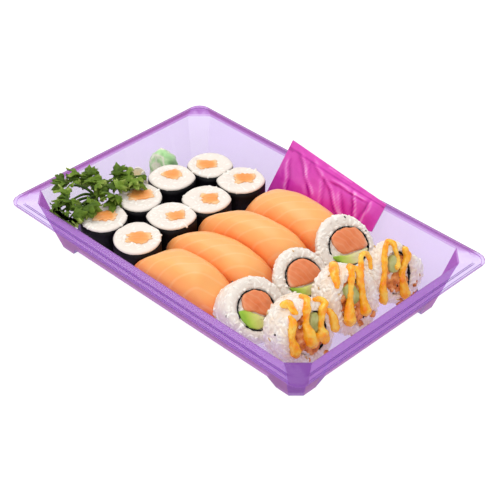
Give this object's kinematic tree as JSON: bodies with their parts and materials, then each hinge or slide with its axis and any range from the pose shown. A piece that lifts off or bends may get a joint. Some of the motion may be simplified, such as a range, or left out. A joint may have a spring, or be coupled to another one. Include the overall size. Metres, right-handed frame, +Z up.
{
  "type": "filled takeaway sushi tray",
  "caption": "Open clear purple takeaway tray on corner feet, filled with small salmon rolls, salmon nigiri, inside-out rolls, parsley, ginger, wasabi and a sauce sachet.",
  "frame": {"origin": "middle of the rectangle that the tray fills, in the plane that its four feet stand on", "axes": "+X along the tray, towards the end with the larger rolls; +Y across it, towards the side that the sachet leans on; +Z up"},
  "size_m": [0.2, 0.132, 0.0422],
  "materials": {
    "tray_plastic": "clear purple thermoformed sheet, glossy",
    "seaweed": "near-black dried seaweed sheet, dull with a slight sheen",
    "rice": "cooked short-grain rice, moist, near white",
    "raw_salmon": "raw salmon, moist, orange with faint pale stripes",
    "avocado": "ripe avocado flesh, satin, yellow-green",
    "cucumber": "peeled cucumber stick, moist, pale green",
    "fried_prawn": "crumbed fried prawn, crisp, reddish brown",
    "parsley": "fresh parsley leaf, satin, deep green",
    "pickled_ginger": "thin moist slices, pale cream",
    "wasabi": "smooth paste, satin, pale green",
    "sachet_foil": "plain magenta laminated film, glossy and creased"
  },
  "bodies": {
    "root": {"ginger": "pickled_ginger", "maki_a1_nori": "seaweed", "maki_a1_rice": "rice", "maki_a1_salmon": "raw_salmon", "maki_a2_nori": "seaweed", "maki_a2_rice": "rice", "maki_a2_salmon": "raw_salmon", "maki_a3_nori": "seaweed", "maki_a3_rice": "rice", "maki_a3_salmon": "raw_salmon", "maki_a4_nori": "seaweed", "maki_a4_rice": "rice", "maki_a4_salmon": "raw_salmon", "maki_b1_nori": "seaweed", "maki_b1_rice": "rice", "maki_b1_salmon": "raw_salmon", "maki_b2_nori": "seaweed", "maki_b2_rice": "rice", "maki_b2_salmon": "raw_salmon", "maki_b3_nori": "seaweed", "maki_b3_rice": "rice", "maki_b3_salmon": "raw_salmon", "maki_b4_nori": "seaweed", "maki_b4_rice": "rice", "maki_b4_salmon": "raw_salmon", "nigiri_1_rice": "rice", "nigiri_1_salmon": "raw_salmon", "nigiri_2_rice": "rice", "nigiri_2_salmon": "raw_salmon", "nigiri_3_rice": "rice", "nigiri_3_salmon": "raw_salmon", "nigiri_4_rice": "rice", "nigiri_4_salmon": "raw_salmon", "parsley": "parsley", "roll_a1_avocado": "avocado", "roll_a1_nori": "seaweed", "roll_a1_rice": "rice", "roll_a1_salmon": "raw_salmon", "roll_a2_avocado": "avocado", "roll_a2_nori": "seaweed", "roll_a2_rice": "rice", "roll_a2_salmon": "raw_salmon", "roll_a3_avocado": "avocado", "roll_a3_nori": "seaweed", "roll_a3_rice": "rice", "roll_a3_salmon": "raw_salmon", "roll_b1_cucumber": "cucumber", "roll_b1_prawn": "fried_prawn", "roll_b1_rice": "rice", "roll_b2_cucumber": "cucumber", "roll_b2_prawn": "fried_prawn", "roll_b2_rice": "rice", "roll_b3_cucumber": "cucumber", "roll_b3_prawn": "fried_prawn", "roll_b3_rice": "rice", "sachet": "sachet_foil", "tray": "tray_plastic", "wasabi": "wasabi"}
  },
  "joints": []
}
